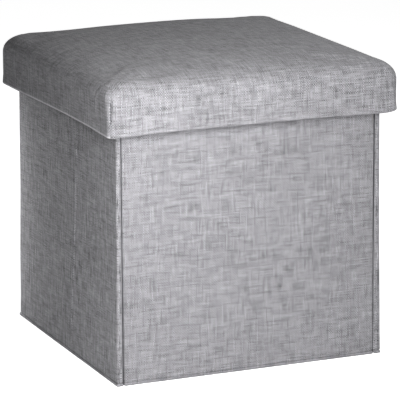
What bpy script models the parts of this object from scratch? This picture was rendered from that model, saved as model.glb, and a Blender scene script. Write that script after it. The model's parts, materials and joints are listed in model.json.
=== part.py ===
"""Folding cube storage ottoman: a lift-off padded lid over a collapsible fabric box.

Frame: metres, +Z up, origin at the middle of the footprint on the floor.
The front wall faces -Y. Both side walls have a vertical fold line at Y = 0.
"""
import math

import bpy
import bmesh
from mathutils import Matrix, Vector

MM = 0.001

# ---------------------------------------------------------------- driving sizes
BODY_HALF_X = 175.0 * MM      # half width of the box, outside
BODY_HALF_Y = 171.5 * MM      # half depth of the box, outside
WALL = 7.0 * MM               # thickness of a wall panel: cover, board and lining
WALL_TOP = 350.0 * MM         # top of the walls, under the lid
FABRIC = 1.0 * MM             # padded outer fabric of a panel
GAP = 0.3 * MM                # clearance between touching solids
LINING = 0.7 * MM             # lining sheet of a panel
GROOVE_HALF = 0.6 * MM        # half width of the sewn groove beside the front wall
HINGE_SETBACK = 4.2 * MM      # corner hinge axis behind the inner face of the front wall
FOLD_OUT = 0.4 * MM           # fold line outside the outer face of a side wall
FOLD_HALF_GAP = 0.4 * MM      # half the gap between the two boards of a side wall
BASE_TOP = 3.4 * MM           # top of the base board, lying on the floor
OVER_BASE = 3.8 * MM          # lower edge of the panels that pass over the base

LID_HALF = 190.5 * MM         # half width and half depth of the lid, outside
SKIRT_BOTTOM = 312.0 * MM     # hem of the lid's skirt
LID_COVER = 1.2 * MM          # thickness of the lid's outer fabric
LID_ROLL = 20.0 * MM          # radius of the soft roll round the lid's top edge
LID_SHOULDER = 374.0 * MM     # height where the roll meets the crowned top
LID_CROWN = 6.0 * MM          # rise of the crowned top over the shoulder
SKIRT_CORNER = 13.0 * MM      # corner radius of the skirt
TOP_CORNER = 17.0 * MM        # corner radius at the crowned top
RIM_THICK = 5.2 * MM          # skirt stiffener boards
RIM_REACH = 176.8 * MM        # half length of a stiffener: the skirt's corners stay soft
LID_BOARD_LOW = 351.4 * MM
LID_BOARD_HIGH = 356.4 * MM

HINGE_X = BODY_HALF_X - WALL - GROOVE_HALF       # corner hinge axes at X = +-HINGE_X
HINGE_Y = BODY_HALF_Y - WALL - HINGE_SETBACK     # and at Y = -HINGE_Y and +HINGE_Y
FOLD_X = BODY_HALF_X + FOLD_OUT                  # fold lines at X = +-FOLD_X, Y = 0
FRONT_HALF_WIDTH = HINGE_X - GROOVE_HALF       # half width of front and back walls

BASE_AXIS_Y = -BODY_HALF_Y + WALL + 0.4 * MM     # base hinge line, along X
BASE_AXIS_Z = BASE_TOP
BASE_HALF_WIDTH = FRONT_HALF_WIDTH - 0.8 * MM
BASE_FRONT = BASE_AXIS_Y + 0.2 * MM
BASE_BACK = BODY_HALF_Y - WALL - 0.8 * MM
TAB_HALF = 14.0 * MM
TAB_LENGTH = 46.0 * MM

# ---------------------------------------------------------------- clean start
for old in list(bpy.data.objects):
    bpy.data.objects.remove(old, do_unlink=True)
for old in list(bpy.data.meshes):
    bpy.data.meshes.remove(old)


# ---------------------------------------------------------------- materials
def material(name, colour, roughness, metallic=0.0):
    mat = bpy.data.materials.new(name)
    mat.use_nodes = True
    shader = mat.node_tree.nodes["Principled BSDF"]
    shader.inputs["Base Color"].default_value = (*colour, 1.0)
    shader.inputs["Roughness"].default_value = roughness
    shader.inputs["Metallic"].default_value = metallic
    mat.diffuse_color = (*colour, 1.0)
    return mat


LINEN = (0.40, 0.40, 0.42)
LINEN_DARK = (0.27, 0.27, 0.29)
LINING_GREY = (0.16, 0.16, 0.17)
BOARD_BROWN = (0.42, 0.31, 0.20)
FOAM_CREAM = (0.80, 0.77, 0.66)
SEAM_GREY = (0.30, 0.30, 0.32)


# ---------------------------------------------------------------- empties on the joint axes
def axis_empty(name, x, y, z, parent=None):
    empty = bpy.data.objects.new(name, None)
    empty.empty_display_size = 0.02
    bpy.context.scene.collection.objects.link(empty)
    empty.location = (x, y, z)
    if parent is not None:
        empty.parent = parent
        empty.location = Vector((x, y, z)) - WORLD_AT[parent.name]
    WORLD_AT[name] = Vector((x, y, z))
    return empty


WORLD_AT = {}
AXES = {
    "root": axis_empty("front_frame", 0.0, -BODY_HALF_Y, 0.0),
    "lid": axis_empty("lid_lift_axis", 0.0, 0.0, WALL_TOP),
    "base": axis_empty("base_hinge_axis", 0.0, BASE_AXIS_Y, BASE_AXIS_Z),
}
AXES["left_front"] = axis_empty("left_front_axis", -HINGE_X, -HINGE_Y, 0.0)
AXES["left_rear"] = axis_empty("left_fold_axis", -FOLD_X, 0.0, 0.0, AXES["left_front"])
AXES["back"] = axis_empty("left_back_axis", -HINGE_X, HINGE_Y, 0.0, AXES["left_rear"])
AXES["right_front"] = axis_empty("right_front_axis", HINGE_X, -HINGE_Y, 0.0)
AXES["right_rear"] = axis_empty("right_fold_axis", FOLD_X, 0.0, 0.0, AXES["right_front"])


def place(name, bm, group, colour, roughness, smooth=False):
    """Turns a bmesh in world space into an object whose parent sits on its joint's axis."""
    parent = AXES[group]
    bmesh.ops.recalc_face_normals(bm, faces=bm.faces[:])
    bmesh.ops.transform(bm, matrix=Matrix.Translation(-WORLD_AT[parent.name]), verts=bm.verts[:])
    mesh = bpy.data.meshes.new(name)
    bm.to_mesh(mesh)
    bm.free()
    if smooth:
        mesh.shade_smooth()
        mesh.set_sharp_from_angle(angle=math.radians(40))
    obj = bpy.data.objects.new(name, mesh)
    bpy.context.scene.collection.objects.link(obj)
    obj.parent = parent
    mesh.materials.append(material(name + "_material", colour, roughness))
    return obj


# ---------------------------------------------------------------- shapes
def box_mesh(low, high):
    bm = bmesh.new()
    bmesh.ops.create_cube(bm, size=1.0)
    low, high = Vector(low), Vector(high)
    size, middle = high - low, (high + low) / 2
    for v in bm.verts:
        v.co = Vector((v.co.x * size.x, v.co.y * size.y, v.co.z * size.z)) + middle
    return bm


def bevel_edges_along(bm, axis, width, segments, keep=lambda edge: True):
    """Rounds the edges that run along one axis."""
    chosen = []
    for edge in bm.edges:
        along = (edge.verts[1].co - edge.verts[0].co).normalized()
        if abs(along[axis]) > 0.99 and keep(edge):
            chosen.append(edge)
    bmesh.ops.bevel(bm, geom=chosen, offset=width, offset_type="OFFSET", segments=segments,
                    profile=0.5, affect="EDGES")


def ring_points(half_x, half_y, radius, z, steps, centre=(0.0, 0.0)):
    """A rounded rectangle, counter-clockwise from above, with corners of steps segments."""
    points = []
    for cx, cy, start in ((1, -1, -90), (1, 1, 0), (-1, 1, 90), (-1, -1, 180)):
        for i in range(steps + 1):
            angle = math.radians(start + 90.0 * i / steps)
            points.append(Vector((
                centre[0] + cx * (half_x - radius) + radius * math.cos(angle),
                centre[1] + cy * (half_y - radius) + radius * math.sin(angle),
                z,
            )))
    return points


def loft(bm, rings):
    """Bridges rings of equal length and returns the rows of vertices."""
    rows = [[bm.verts.new(p) for p in ring] for ring in rings]
    for low, high in zip(rows, rows[1:]):
        n = len(low)
        for i in range(n):
            bm.faces.new((low[i], low[(i + 1) % n], high[(i + 1) % n], high[i]))
    return rows


def crown_height(share, rise):
    """Height of the crowned top at a share of the half width: level in the middle."""
    return rise * (1.0 - share ** 2.2)


def tray_box(low, high, open_axis, open_sign, thick):
    """An open tray: a box with one open face and walls of one thickness, as one closed solid."""
    low, high = Vector(low), Vector(high)
    inner_low = low + Vector((thick, thick, thick))
    inner_high = high - Vector((thick, thick, thick))
    if open_sign > 0:
        inner_high[open_axis] = high[open_axis]
    else:
        inner_low[open_axis] = low[open_axis]
    bm = bmesh.new()
    a, b = [i for i in range(3) if i != open_axis]

    def corner(lo, hi, u, v, w):
        p = Vector((0.0, 0.0, 0.0))
        p[a] = hi[a] if u else lo[a]
        p[b] = hi[b] if v else lo[b]
        p[open_axis] = hi[open_axis] if w else lo[open_axis]
        return bm.verts.new(p)

    order = ((0, 0), (1, 0), (1, 1), (0, 1))
    top = 1 if open_sign > 0 else 0
    outer_floor = [corner(low, high, u, v, 1 - top) for u, v in order]
    outer_mouth = [corner(low, high, u, v, top) for u, v in order]
    inner_mouth = [corner(inner_low, inner_high, u, v, top) for u, v in order]
    inner_floor = [corner(inner_low, inner_high, u, v, 1 - top) for u, v in order]
    bm.faces.new(outer_floor)
    bm.faces.new(inner_floor)
    for one, two in ((outer_floor, outer_mouth), (outer_mouth, inner_mouth), (inner_mouth, inner_floor)):
        for i in range(4):
            j = (i + 1) % 4
            bm.faces.new((one[i], one[j], two[j], two[i]))
    return bm


def rod_mesh(x, y, low, high, radius, sides):
    bm = bmesh.new()
    bmesh.ops.create_cone(bm, cap_ends=True, cap_tris=False, segments=sides, radius1=radius,
                          radius2=radius, depth=high - low)
    bmesh.ops.translate(bm, vec=Vector((x, y, (low + high) / 2)), verts=bm.verts[:])
    return bm


# ---------------------------------------------------------------- wall panels
def panel(prefix, group, low, high, across, outward):
    """A wall panel: an outer fabric tray, a stiff board inside it and a lining in its mouth.

    across is the axis through the thickness, outward the sign of its outer face.
    """
    low, high = Vector(low), Vector(high)
    bm = tray_box(low, high, across, -outward, FABRIC)
    bevel = 0.5 * MM
    place(prefix + "_cover", bm, group, LINEN, 0.9)

    inset = FABRIC + GAP
    board_low = low + Vector((inset, inset, inset))
    board_high = high - Vector((inset, inset, inset))
    lining_low = low + Vector((inset, inset, inset))
    lining_high = high - Vector((inset, inset, inset))
    if outward < 0:
        board_high[across] = high[across] - LINING - 0.3 * MM - GAP
        lining_low[across] = high[across] - LINING - 0.3 * MM
        lining_high[across] = high[across] - 0.3 * MM
    else:
        board_low[across] = low[across] + LINING + 0.3 * MM + GAP
        lining_low[across] = low[across] + 0.3 * MM
        lining_high[across] = low[across] + LINING + 0.3 * MM
    bm = box_mesh(board_low, board_high)
    bevel_edges_along(bm, 2, bevel, 1)
    place(prefix + "_board", bm, group, BOARD_BROWN, 0.85)
    place(prefix + "_lining", box_mesh(lining_low, lining_high), group, LINING_GREY, 0.95)


def edge_binding(name, group, side, end):
    """The sewn fabric edge of a side wall, from the floor to the top, rounded on the outside."""
    x_out, x_in = side * BODY_HALF_X, side * (BODY_HALF_X - WALL)
    y_out, y_in = end * BODY_HALF_Y, end * HINGE_Y
    low = (min(x_out, x_in), min(y_out, y_in), 0.0)
    high = (max(x_out, x_in), max(y_out, y_in), WALL_TOP)
    bm = box_mesh(low, high)
    bevel_edges_along(bm, 2, 2.2 * MM, 3,
                      keep=lambda e: abs(e.verts[0].co.x) > BODY_HALF_X - 1e-5 and abs(e.verts[0].co.y) > BODY_HALF_Y - 1e-5)
    place(name, bm, group, LINEN, 0.9, smooth=True)


def hinge_web(name, group, side, end):
    """The strip of fabric in the corner groove that joins a wall to the side wall's hinge line."""
    half = 0.3 * MM
    x = side * HINGE_X
    y_one, y_two = end * (BODY_HALF_Y - 1.6 * MM), end * (HINGE_Y - 0.2 * MM)
    z_low = 0.4 * MM if end < 0 else OVER_BASE + 0.4 * MM
    bm = box_mesh((x - half, min(y_one, y_two), z_low), (x + half, max(y_one, y_two), WALL_TOP - 0.6 * MM))
    place(name, bm, group, SEAM_GREY, 0.95)


panel("front_wall", "root", (-FRONT_HALF_WIDTH, -BODY_HALF_Y, 0.0),
      (FRONT_HALF_WIDTH, -BODY_HALF_Y + WALL, WALL_TOP), 1, -1)
panel("back_wall", "back", (-FRONT_HALF_WIDTH, BODY_HALF_Y - WALL, OVER_BASE),
      (FRONT_HALF_WIDTH, BODY_HALF_Y, WALL_TOP), 1, 1)

for side, side_name in ((-1, "left"), (1, "right")):
    x_low = min(side * BODY_HALF_X, side * (BODY_HALF_X - WALL))
    x_high = max(side * BODY_HALF_X, side * (BODY_HALF_X - WALL))
    panel(side_name + "_front_panel", side_name + "_front",
          (x_low, -HINGE_Y + GAP, OVER_BASE), (x_high, -FOLD_HALF_GAP, WALL_TOP), 0, side)
    panel(side_name + "_rear_panel", side_name + "_rear",
          (x_low, FOLD_HALF_GAP, OVER_BASE), (x_high, HINGE_Y - GAP, WALL_TOP), 0, side)
    edge_binding(side_name + "_front_edge_binding", side_name + "_front", side, -1)
    edge_binding(side_name + "_rear_edge_binding", side_name + "_rear", side, 1)
    hinge_web(side_name + "_front_hinge_web", "root", side, -1)
    hinge_web(side_name + "_rear_hinge_web", "back", side, 1)
    # the line of stitches that the two halves of the side wall turn about
    place(side_name + "_fold_seam",
          rod_mesh(side * FOLD_X, 0.0, OVER_BASE + 0.6 * MM, WALL_TOP - 0.6 * MM, 0.25 * MM, 8),
          side_name + "_front", SEAM_GREY, 0.95, smooth=True)

# ---------------------------------------------------------------- base board
BOARD_HIGH = 2.2 * MM
place("base_board", box_mesh((-BASE_HALF_WIDTH, BASE_FRONT, 0.0), (BASE_HALF_WIDTH, BASE_BACK, BOARD_HIGH)),
      "base", BOARD_BROWN, 0.85)


def base_cover_mesh():
    """The base's lining sheet, with a notch at the back edge where the pull tab lies."""
    notch, depth = TAB_HALF + GAP, TAB_LENGTH + GAP
    outline = [
        (-BASE_HALF_WIDTH, BASE_FRONT), (BASE_HALF_WIDTH, BASE_FRONT), (BASE_HALF_WIDTH, BASE_BACK),
        (notch, BASE_BACK), (notch, BASE_BACK - depth), (-notch, BASE_BACK - depth),
        (-notch, BASE_BACK), (-BASE_HALF_WIDTH, BASE_BACK),
    ]
    bm = bmesh.new()
    face = bm.faces.new([bm.verts.new((x, y, BOARD_HIGH + GAP)) for x, y in outline])
    grown = bmesh.ops.extrude_face_region(bm, geom=[face])
    bmesh.ops.translate(bm, vec=(0.0, 0.0, BASE_TOP - BOARD_HIGH - GAP),
                        verts=[v for v in grown["geom"] if isinstance(v, bmesh.types.BMVert)])
    return bm


place("base_lining", base_cover_mesh(), "base", LINING_GREY, 0.95)
tab = box_mesh((-TAB_HALF, BASE_BACK - TAB_LENGTH, BOARD_HIGH + GAP), (TAB_HALF, BASE_BACK, BASE_TOP - 0.1 * MM))
bevel_edges_along(tab, 2, 3.0 * MM, 3, keep=lambda e: e.verts[0].co.y < BASE_BACK - 0.02)
place("base_pull_tab", tab, "base", LINEN_DARK, 0.9)


# ---------------------------------------------------------------- lid
def lid_rings(shrink, start_z, corner_steps, roll_steps, crown_steps):
    """Rings of the lid's outside, moved inwards by shrink: skirt, rolled top edge, crowned top."""
    centre_z = LID_SHOULDER - LID_ROLL
    roll = LID_ROLL - shrink
    inner_half = LID_HALF - LID_ROLL
    first = 0.0
    rings = []
    if start_z < centre_z:
        rings.append(ring_points(LID_HALF - shrink, LID_HALF - shrink, SKIRT_CORNER - shrink, start_z, corner_steps))
    else:
        first = math.asin((start_z - centre_z) / roll)
    for i in range(roll_steps + 1):
        angle = first + (math.pi / 2 - first) * i / roll_steps
        half = inner_half + roll * math.cos(angle)
        radius = SKIRT_CORNER - shrink + (TOP_CORNER - SKIRT_CORNER) * math.sin(angle)
        rings.append(ring_points(half, half, radius, centre_z + roll * math.sin(angle), corner_steps))
    for i in range(1, crown_steps + 1):
        share = 1.0 - i / (crown_steps + 0.6)
        half = inner_half * share
        radius = max((TOP_CORNER - shrink) * share, half * 0.12)
        rings.append(ring_points(half, half, radius,
                                 LID_SHOULDER - shrink + crown_height(share, LID_CROWN), corner_steps))
    return rings


def lid_cover_mesh():
    outer = lid_rings(0.0, SKIRT_BOTTOM, 4, 6, 5)
    inner = lid_rings(LID_COVER, SKIRT_BOTTOM, 4, 6, 5)
    bm = bmesh.new()
    out_rows = loft(bm, outer)
    in_rows = loft(bm, inner)
    n = len(outer[0])
    for i in range(n):
        j = (i + 1) % n
        bm.faces.new((out_rows[0][i], out_rows[0][j], in_rows[0][j], in_rows[0][i]))
    bm.faces.new(out_rows[-1])
    bm.faces.new(in_rows[-1])
    return bm


def lid_foam_mesh():
    rings = lid_rings(LID_COVER + GAP, LID_BOARD_HIGH + GAP, 4, 5, 5)
    bm = bmesh.new()
    rows = loft(bm, rings)
    bm.faces.new(rows[0])
    bm.faces.new(rows[-1])
    return bm


place("lid_cover", lid_cover_mesh(), "lid", LINEN, 0.9, smooth=True)
place("lid_foam_pad", lid_foam_mesh(), "lid", FOAM_CREAM, 0.95, smooth=True)

RIM_HALF = LID_HALF - LID_COVER - GAP            # outside of the skirt stiffeners
RIM_LOW, RIM_HIGH = SKIRT_BOTTOM + 0.8 * MM, LID_BOARD_LOW - GAP
board = box_mesh((-RIM_HALF + 0.4 * MM, -RIM_HALF + 0.4 * MM, LID_BOARD_LOW),
                 (RIM_HALF - 0.4 * MM, RIM_HALF - 0.4 * MM, LID_BOARD_HIGH))
bevel_edges_along(board, 2, 12.5 * MM, 5)
place("lid_board", board, "lid", BOARD_BROWN, 0.85)

for end, name in ((-1, "lid_front_stiffener"), (1, "lid_back_stiffener")):
    y_one, y_two = end * RIM_HALF, end * (RIM_HALF - RIM_THICK)
    rim = box_mesh((-RIM_REACH, min(y_one, y_two), RIM_LOW), (RIM_REACH, max(y_one, y_two), RIM_HIGH))
    bevel_edges_along(rim, 0, 1.0 * MM, 1)
    place(name, rim, "lid", BOARD_BROWN, 0.85)
for side, name in ((-1, "lid_left_stiffener"), (1, "lid_right_stiffener")):
    x_one, x_two = side * RIM_HALF, side * (RIM_HALF - RIM_THICK)
    rim = box_mesh((min(x_one, x_two), -RIM_REACH, RIM_LOW), (max(x_one, x_two), RIM_REACH, RIM_HIGH))
    bevel_edges_along(rim, 1, 1.0 * MM, 1)
    place(name, rim, "lid", BOARD_BROWN, 0.85)

LINER_HALF = RIM_HALF - RIM_THICK - GAP          # outside of the lid's lining
place("lid_lining",
      tray_box((-LINER_HALF, -LINER_HALF, RIM_LOW), (LINER_HALF, LINER_HALF, LID_BOARD_LOW - GAP),
               2, -1, 0.6 * MM),
      "lid", LINING_GREY, 0.95)
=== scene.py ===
"""Looks of the folding storage cube: linen-covered panels, sewn corner grooves, padded lift-off lid."""

import json
import math

import bmesh
import bpy
import numpy as np
from mathutils import Matrix, Vector, noise

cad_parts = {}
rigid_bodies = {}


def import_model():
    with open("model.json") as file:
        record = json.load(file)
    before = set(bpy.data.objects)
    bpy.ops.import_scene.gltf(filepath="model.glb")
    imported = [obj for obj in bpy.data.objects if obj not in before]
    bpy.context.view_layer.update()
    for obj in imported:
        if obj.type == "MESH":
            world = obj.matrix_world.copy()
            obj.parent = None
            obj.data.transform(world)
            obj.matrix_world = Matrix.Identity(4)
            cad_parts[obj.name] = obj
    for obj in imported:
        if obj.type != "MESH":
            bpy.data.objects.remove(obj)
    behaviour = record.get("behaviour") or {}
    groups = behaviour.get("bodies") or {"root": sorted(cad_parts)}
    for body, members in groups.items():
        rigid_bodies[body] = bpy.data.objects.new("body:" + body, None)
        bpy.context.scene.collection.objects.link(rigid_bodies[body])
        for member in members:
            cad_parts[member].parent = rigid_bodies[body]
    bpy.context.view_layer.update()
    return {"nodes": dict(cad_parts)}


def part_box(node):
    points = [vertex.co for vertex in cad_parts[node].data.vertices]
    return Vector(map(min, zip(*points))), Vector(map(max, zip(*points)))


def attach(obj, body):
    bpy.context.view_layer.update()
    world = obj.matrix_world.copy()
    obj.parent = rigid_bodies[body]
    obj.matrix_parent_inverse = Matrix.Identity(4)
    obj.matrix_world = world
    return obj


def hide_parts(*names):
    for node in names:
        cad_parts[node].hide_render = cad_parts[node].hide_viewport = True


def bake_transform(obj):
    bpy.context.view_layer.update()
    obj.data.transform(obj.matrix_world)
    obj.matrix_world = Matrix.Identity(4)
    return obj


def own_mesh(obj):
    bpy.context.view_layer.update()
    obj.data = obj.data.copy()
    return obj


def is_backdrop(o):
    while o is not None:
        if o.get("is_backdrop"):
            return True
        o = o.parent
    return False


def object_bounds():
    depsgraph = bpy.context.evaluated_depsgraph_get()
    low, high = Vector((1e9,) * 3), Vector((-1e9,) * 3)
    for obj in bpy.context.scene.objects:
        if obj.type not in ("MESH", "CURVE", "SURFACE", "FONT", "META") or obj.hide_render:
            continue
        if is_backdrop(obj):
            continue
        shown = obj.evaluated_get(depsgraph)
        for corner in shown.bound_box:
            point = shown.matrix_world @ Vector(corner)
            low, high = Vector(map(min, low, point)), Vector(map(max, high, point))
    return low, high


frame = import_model()
MM = 0.001

# ------------------------------------------------------------------ places read from the frame
front_low, front_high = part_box("front_wall_cover")
BODY_Y = -front_low.y                          # outer face of the front and back walls
BODY_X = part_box("right_front_panel_cover")[1].x  # outer face of the side walls
WALL_TOP = front_high.z
FRONT_HALF = front_high.x                      # front and back walls end at the corner grooves
OVER_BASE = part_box("left_front_panel_cover")[0].z
WALL = front_high.y - front_low.y
PANEL_Y, PANEL_X = BODY_Y - WALL, BODY_X - WALL
HINGE_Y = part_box("left_rear_panel_cover")[1].y + 0.3 * MM
lid_low, lid_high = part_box("lid_cover")
LID_HALF = lid_high.x
SKIRT_BOTTOM = lid_low.z
LID_ROLL = 20 * MM
LID_SHOULDER = lid_high.z - 6 * MM

# ------------------------------------------------------------------ camera
camera_data = bpy.data.cameras.new("photo_camera")
camera = bpy.data.objects.new("photo_camera", camera_data)
bpy.context.scene.collection.objects.link(camera)
right = Vector((0.91906485, -0.39408842, -0.00375793))
up = Vector((0.09695707, 0.21685354, 0.9713773))
forward = Vector((0.38199363, 0.89312309, -0.23751213))
pose = Matrix.Identity(4)
for i in range(3):
    pose[i][0], pose[i][1], pose[i][2] = right[i], up[i], -forward[i]
pose.translation = Vector((-1.41444934, -3.32269393, 1.05903877))
camera.matrix_world = pose
camera_data.sensor_width = 36.0
camera_data.sensor_fit = "HORIZONTAL"
camera_data.lens = 264.217
camera_data.clip_start, camera_data.clip_end = 0.05, 60.0
bpy.context.scene.camera = camera
bpy.context.scene.view_settings.view_transform = "Standard"
bpy.context.scene.view_settings.look = "None"


# ------------------------------------------------------------------ node helpers
class Graph:
    """Small builder for procedural materials."""

    def __init__(self, name):
        self.material = bpy.data.materials.new(name)
        self.material.use_nodes = True
        self.tree = self.material.node_tree
        self.shader = self.tree.nodes["Principled BSDF"]
        self.coordinates = self.tree.nodes.new("ShaderNodeTexCoord")

    def link(self, value, socket):
        if isinstance(value, (int, float)):
            socket.default_value = value
        else:
            self.tree.links.new(value, socket)

    def math(self, operation, a, b=None, c=None, clamp=False):
        node = self.tree.nodes.new("ShaderNodeMath")
        node.operation = operation
        node.use_clamp = clamp
        for i, value in enumerate((a, b, c)):
            if value is not None:
                self.link(value, node.inputs[i])
        return node.outputs[0]

    def add(self, a, b):
        return self.math("ADD", a, b)

    def mul(self, a, b):
        return self.math("MULTIPLY", a, b)

    def affine(self, a, scale, offset):
        return self.math("MULTIPLY_ADD", a, scale, offset)

    def split(self, vector):
        node = self.tree.nodes.new("ShaderNodeSeparateXYZ")
        self.tree.links.new(vector, node.inputs[0])
        return node.outputs

    def join(self, x, y, z=0.0):
        node = self.tree.nodes.new("ShaderNodeCombineXYZ")
        for value, socket in zip((x, y, z), node.inputs):
            self.link(value, socket)
        return node.outputs[0]

    def noise(self, vector, scale=1.0, detail=2.0, roughness=0.5):
        node = self.tree.nodes.new("ShaderNodeTexNoise")
        node.noise_dimensions = "3D"
        node.inputs["Scale"].default_value = scale
        node.inputs["Detail"].default_value = detail
        node.inputs["Roughness"].default_value = roughness
        self.tree.links.new(vector, node.inputs["Vector"])
        return node.outputs[0]

    def cells(self, vector, scale, feature="F1", randomness=1.0):
        node = self.tree.nodes.new("ShaderNodeTexVoronoi")
        node.feature = feature
        node.inputs["Scale"].default_value = scale
        node.inputs["Randomness"].default_value = randomness
        self.tree.links.new(vector, node.inputs["Vector"])
        return node.outputs["Distance"]

    def colour(self, factor, colour):
        """A colour whose brightness follows factor."""
        node = self.tree.nodes.new("ShaderNodeVectorMath")
        node.operation = "SCALE"
        node.inputs[0].default_value = colour
        self.link(factor, node.inputs["Scale"])
        self.tree.links.new(node.outputs[0], self.shader.inputs["Base Color"])

    def blend_colours(self, factor, one, two, brightness):
        mix = self.tree.nodes.new("ShaderNodeMix")
        mix.data_type = "RGBA"
        self.link(factor, mix.inputs[0])
        mix.inputs[6].default_value = (*one, 1.0)
        mix.inputs[7].default_value = (*two, 1.0)
        node = self.tree.nodes.new("ShaderNodeVectorMath")
        node.operation = "SCALE"
        self.tree.links.new(mix.outputs[2], node.inputs[0])
        self.link(brightness, node.inputs["Scale"])
        self.tree.links.new(node.outputs[0], self.shader.inputs["Base Color"])

    def bump(self, height, strength, distance):
        node = self.tree.nodes.new("ShaderNodeBump")
        node.inputs["Strength"].default_value = strength
        node.inputs["Distance"].default_value = distance
        self.tree.links.new(height, node.inputs["Height"])
        self.tree.links.new(node.outputs[0], self.shader.inputs["Normal"])

    def finish(self, roughness, specular=0.3, sheen=0.0, sheen_roughness=0.5):
        self.shader.inputs["Roughness"].default_value = roughness
        self.shader.inputs["Specular IOR Level"].default_value = specular
        self.shader.inputs["Sheen Weight"].default_value = sheen
        self.shader.inputs["Sheen Roughness"].default_value = sheen_roughness
        return self.material


LINEN = (0.250, 0.2475, 0.2615)


def linen(name, colour=LINEN, pitch=1.55 * MM, slub=1.0, source="UV", weft_share=1.0, hem_at=None):
    """Plain-weave linen look: single threads of uneven thickness and tone both ways."""
    g = Graph(name)
    u, v, _ = g.split(g.coordinates.outputs[source])
    drift_u = g.affine(g.noise(g.join(g.mul(u, 16.0), g.mul(v, 7.0), 1.7), detail=2.0), 1.5, -0.75)
    drift_v = g.affine(g.noise(g.join(g.mul(u, 7.0), g.mul(v, 16.0), 8.3), detail=2.0), 1.5, -0.75)
    cu = g.add(g.mul(u, 1.0 / pitch), drift_u)
    cv = g.add(g.mul(v, 1.0 / pitch), drift_v)
    iu, iv = g.math("FLOOR", cu), g.math("FLOOR", cv)
    su = g.math("SINE", g.mul(cu, math.pi))
    sv = g.math("SINE", g.mul(cv, math.pi))
    cross = g.mul(su, sv)                                   # + where the warp is on top
    over = g.affine(g.math("MINIMUM", g.math("MAXIMUM", g.mul(cross, 2.5), -1.0), 1.0), 0.5, 0.5)
    warp = g.noise(g.join(g.mul(iu, 0.7317), g.mul(v, 1 / 0.022), 3.1), detail=3.0, roughness=0.62)
    weft = g.noise(g.join(g.mul(u, 1 / 0.022), g.mul(iv, 0.7317), 9.7), detail=3.0, roughness=0.62)
    warp_wide = g.noise(g.join(g.mul(cu, 0.42), g.mul(v, 1 / 0.060), 21.0), detail=2.0)
    weft_wide = g.noise(g.join(g.mul(u, 1 / 0.060), g.mul(cv, 0.42), 33.0), detail=2.0)
    inverse = g.affine(over, -1.0, 1.0)
    weft = g.affine(weft, weft_share, 0.5 - 0.5 * weft_share)
    tone = g.add(g.mul(over, warp), g.mul(inverse, weft))
    tone = g.affine(tone, 2.3 * slub, -1.15 * slub)
    wide = g.affine(g.add(g.mul(warp_wide, 1.3), g.mul(weft_wide, 0.7)), 0.30 * slub, -0.30 * slub)
    mottle = g.affine(g.noise(g.join(g.mul(u, 11.0), g.mul(v, 11.0), 2.0), detail=3.0), 0.22, -0.11)
    fuzz = g.affine(g.noise(g.join(g.mul(u, 820.0), g.mul(v, 820.0), 4.0), detail=1.0), 0.55, -0.275)
    pattern = g.mul(cross, 0.30)
    total = g.add(g.add(g.add(tone, wide), g.add(mottle, fuzz)), g.affine(pattern, 1.0, 1.0))
    if hem_at is not None:
        # painted highlight: a lighter band along the folded lower edge of the side skirts, where light from below
        # catches the hem; UVs there run outwards from the top's middle
        across, down = g.math("ABSOLUTE", u), g.math("ABSOLUTE", v)
        off = g.mul(g.math("ABSOLUTE", g.affine(across, 1.0, -hem_at)), 1 / (2.2 * MM))
        painted_hem_highlight = g.mul(g.math("MAXIMUM", g.affine(off, -1.0, 1.0), 0.0), g.math("GREATER_THAN", across, down))
        total = g.add(total, g.mul(painted_hem_highlight, 1.4))
    g.colour(g.math("MAXIMUM", total, 0.12), colour)
    strand = g.math("ABSOLUTE", cross)
    height = g.add(g.affine(cross, 0.30, 0.5), g.add(g.mul(strand, 0.35), g.mul(tone, 0.45)))
    height = g.add(height, g.mul(fuzz, 0.3))
    g.bump(height, 0.9, 0.75 * MM)
    return g.finish(0.88, 0.22, 0.12, 0.6)


def felt_lining(name, colour=(0.085, 0.085, 0.090)):
    """Dark non-woven lining with its small embossed grid."""
    g = Graph(name)
    x, y, z = g.split(g.coordinates.outputs["UV"])
    k = 2 * math.pi / (2.4 * MM)
    a = g.math("SINE", g.mul(g.add(x, y), k))
    b = g.math("SINE", g.mul(g.math("SUBTRACT", x, y), k))
    dots = g.math("MAXIMUM", g.mul(a, b), 0.0)
    fibres = g.noise(g.coordinates.outputs["UV"], scale=900.0, detail=3.0, roughness=0.7)
    cloud = g.noise(g.coordinates.outputs["UV"], scale=14.0, detail=3.0)
    total = g.add(g.affine(fibres, 0.7, 0.65), g.add(g.mul(dots, -0.28), g.affine(cloud, 0.30, -0.15)))
    g.colour(total, colour)
    g.bump(g.add(g.mul(fibres, 0.5), g.mul(dots, -0.8)), 0.6, 0.2 * MM)
    return g.finish(0.92, 0.2, 0.15, 0.5)


def cardboard(name, colour=(0.27, 0.262, 0.258)):
    g = Graph(name)
    o = g.coordinates.outputs["Object"]
    x, y, z = g.split(o)
    fibres = g.noise(g.join(g.mul(x, 260.0), g.mul(y, 260.0), g.mul(z, 900.0)), detail=4.0, roughness=0.7)
    specks = g.math("LESS_THAN", g.cells(o, 420.0), 0.16)
    cloud = g.noise(o, scale=9.0, detail=3.0)
    total = g.add(g.affine(fibres, 0.5, 0.75), g.add(g.mul(specks, -0.14), g.affine(cloud, 0.3, -0.15)))
    g.colour(total, colour)
    g.bump(fibres, 0.4, 0.15 * MM)
    return g.finish(0.86, 0.25)


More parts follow.
